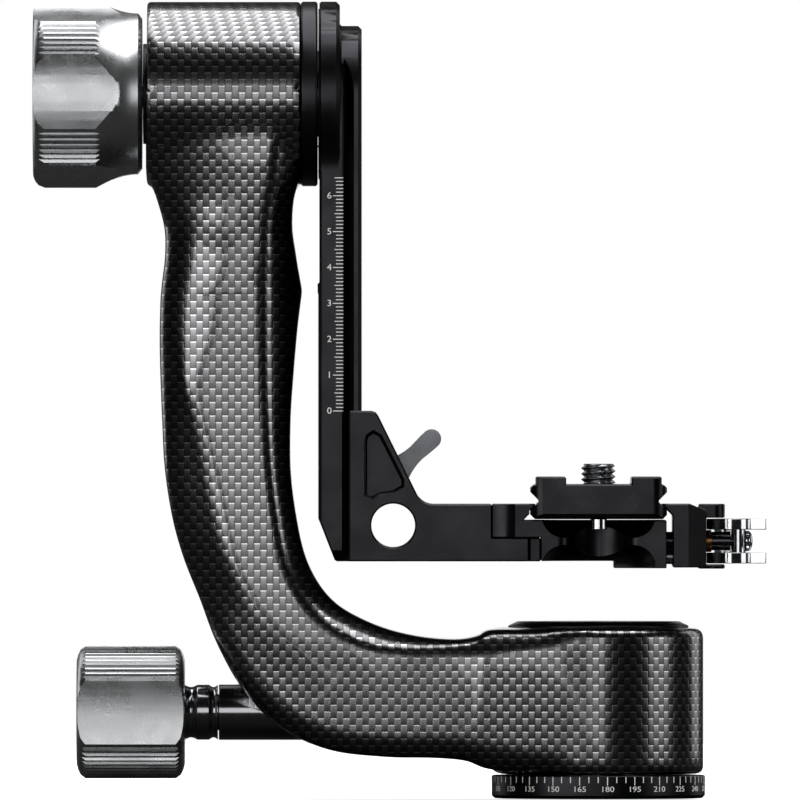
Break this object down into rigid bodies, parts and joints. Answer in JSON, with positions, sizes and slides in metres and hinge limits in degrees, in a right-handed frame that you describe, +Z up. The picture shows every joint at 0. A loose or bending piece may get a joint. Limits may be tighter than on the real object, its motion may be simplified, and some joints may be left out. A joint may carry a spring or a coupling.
{
  "type": "gimbal tripod head",
  "caption": "Gimbal tripod head: a sculpted woven-look arm on a panning base carries a swing arm with a height scale, a sliding cradle and a lever clamp for a camera plate.",
  "frame": {"origin": "on the pan axis in the foot's bottom face, at the mouth of the tripod thread", "axes": "+X along the tilt axis towards the rail and the plate, +Y to the back, +Z up along the pan axis"},
  "size_m": [0.2048, 0.0733, 0.2229],
  "materials": {
    "black_anodised": "satin black anodised over a fine bead blast",
    "silver_anodised": "silver-grey bead blast, satin",
    "grey_anodised": "grey satin",
    "carbon_gloss": "woven carbon look under a glossy clear coat",
    "machined_steel": "turned steel",
    "bearing_steel": "ground and polished",
    "black_steel": "black oxide",
    "chrome": "bright plated",
    "brass": "satin brass",
    "black_polymer": "matte black low-friction polymer"
  },
  "bodies": {
    "base": {"pan_base": "black_anodised", "pan_spindle": "machined_steel", "thread_insert": "machined_steel", "base_screws": "black_steel", "pan_inner_races": "bearing_steel", "spindle_nut": "machined_steel"},
    "arm": {"main_arm": "carbon_gloss", "pan_cap": "black_anodised", "pan_outer_races": "bearing_steel", "pan_balls": "bearing_steel", "pan_lock_sleeve": "black_anodised", "tilt_flange": "black_anodised", "flange_screws": "black_steel", "tilt_outer_races": "bearing_steel", "tilt_race_spacer": "machined_steel", "tilt_balls": "bearing_steel"},
    "pan_pusher": {"pan_push_rod": "machined_steel", "pan_brake_shoe": "brass"},
    "pan_knob": {"pan_lock_screw": "black_steel", "pan_knob": "silver_anodised"},
    "swing": {"swing_arm": "black_anodised", "tilt_shaft": "machined_steel", "tilt_inner_races": "bearing_steel", "tilt_race_sleeve": "machined_steel", "shaft_ring_nut": "machined_steel", "shaft_screws": "black_steel", "tilt_friction_washer": "black_polymer"},
    "tilt_washer": {"tilt_thrust_washer": "black_polymer"},
    "tilt_knob": {"tilt_knob": "silver_anodised", "tilt_knob_insert": "brass"},
    "cradle": {"cradle_bracket": "black_anodised", "rail_stop_pin": "machined_steel", "clamp_body": "black_anodised", "clamp_screws": "black_steel", "rail_clamp_stud": "machined_steel", "rail_jaw_pins": "machined_steel", "qr_draw_bolt": "black_steel", "qr_barrel_pin": "chrome", "qr_dome_nut": "chrome", "qr_guide_pins": "machined_steel"},
    "rail_jaw": {"rail_jaw": "black_anodised"},
    "height_lever": {"height_lever": "grey_anodised", "height_lever_cap": "black_steel"},
    "qr_jaw": {"qr_jaw": "black_anodised", "qr_cam_washer": "brass"},
    "qr_lever": {"qr_lever": "chrome"},
    "plate": {"camera_plate": "black_anodised", "plate_stop_screws": "chrome"},
    "camera_screw": {"camera_screw": "machined_steel", "camera_screw_clip": "machined_steel"}
  },
  "joints": [
    {"name": "pan", "type": "hinge", "parent": "base", "child": "arm", "pos_m": [0, 0, 0.03], "axis": [0, 0, 1], "continuous": true},
    {"name": "tilt", "type": "hinge", "parent": "arm", "child": "swing", "pos_m": [-0.1, 0, 0.1967], "axis": [1, 0, 0], "continuous": true},
    {"name": "pan_push", "type": "slide", "parent": "arm", "child": "pan_pusher", "axis": [-1, 0, 0], "range_m": [0, 0.00125]},
    {"name": "pan_lock_turn", "type": "hinge", "parent": "pan_pusher", "child": "pan_knob", "pos_m": [-0.13, 0, 0.024], "axis": [-1, 0, 0], "range_deg": [0, 360]},
    {"name": "tilt_release", "type": "slide", "parent": "swing", "child": "tilt_washer", "axis": [-1, 0, 0], "range_m": [0, 0.00125]},
    {"name": "tilt_lock_turn", "type": "hinge", "parent": "tilt_washer", "child": "tilt_knob", "pos_m": [-0.14, 0, 0.1967], "axis": [-1, 0, 0], "range_deg": [0, 360]},
    {"name": "height_slide", "type": "slide", "parent": "swing", "child": "cradle", "axis": [0, 0, 1], "range_m": [0, 0.065]},
    {"name": "rail_clamp", "type": "slide", "parent": "cradle", "child": "rail_jaw", "axis": [0, 1, 0], "range_m": [0, 0.00038194]},
    {"name": "height_lever_turn", "type": "hinge", "parent": "rail_jaw", "child": "height_lever", "pos_m": [-0.0595, 0.026, 0.0884], "axis": [0, 1, 0], "range_deg": [0, 110]},
    {"name": "clamp_jaw", "type": "slide", "parent": "cradle", "child": "qr_jaw", "axis": [1, 0, 0], "range_m": [0, 0.00153]},
    {"name": "clamp_lever_turn", "type": "hinge", "parent": "cradle", "child": "qr_lever", "pos_m": [0.0392, 0, 0.0718], "axis": [0, 0, 1], "range_deg": [-115, 0]},
    {"name": "plate_slide", "type": "slide", "parent": "cradle", "child": "plate", "axis": [0, 1, 0], "range_m": [-0.011, 0.011]},
    {"name": "camera_screw_turn", "type": "hinge", "parent": "plate", "child": "camera_screw", "pos_m": [0, 0, 0.09], "axis": [0, 0, 1], "continuous": true}
  ],
  "couplings": [
    {"joint": "pan_lock_turn", "follows": "pan_push", "rad_per_m": 5026.5},
    {"joint": "tilt_lock_turn", "follows": "tilt_release", "rad_per_m": 5026.5},
    {"joint": "height_lever_turn", "follows": "rail_clamp", "rad_per_m": 5026.5},
    {"joint": "clamp_lever_turn", "follows": "clamp_jaw", "rad_per_m": -1308.9}
  ]
}
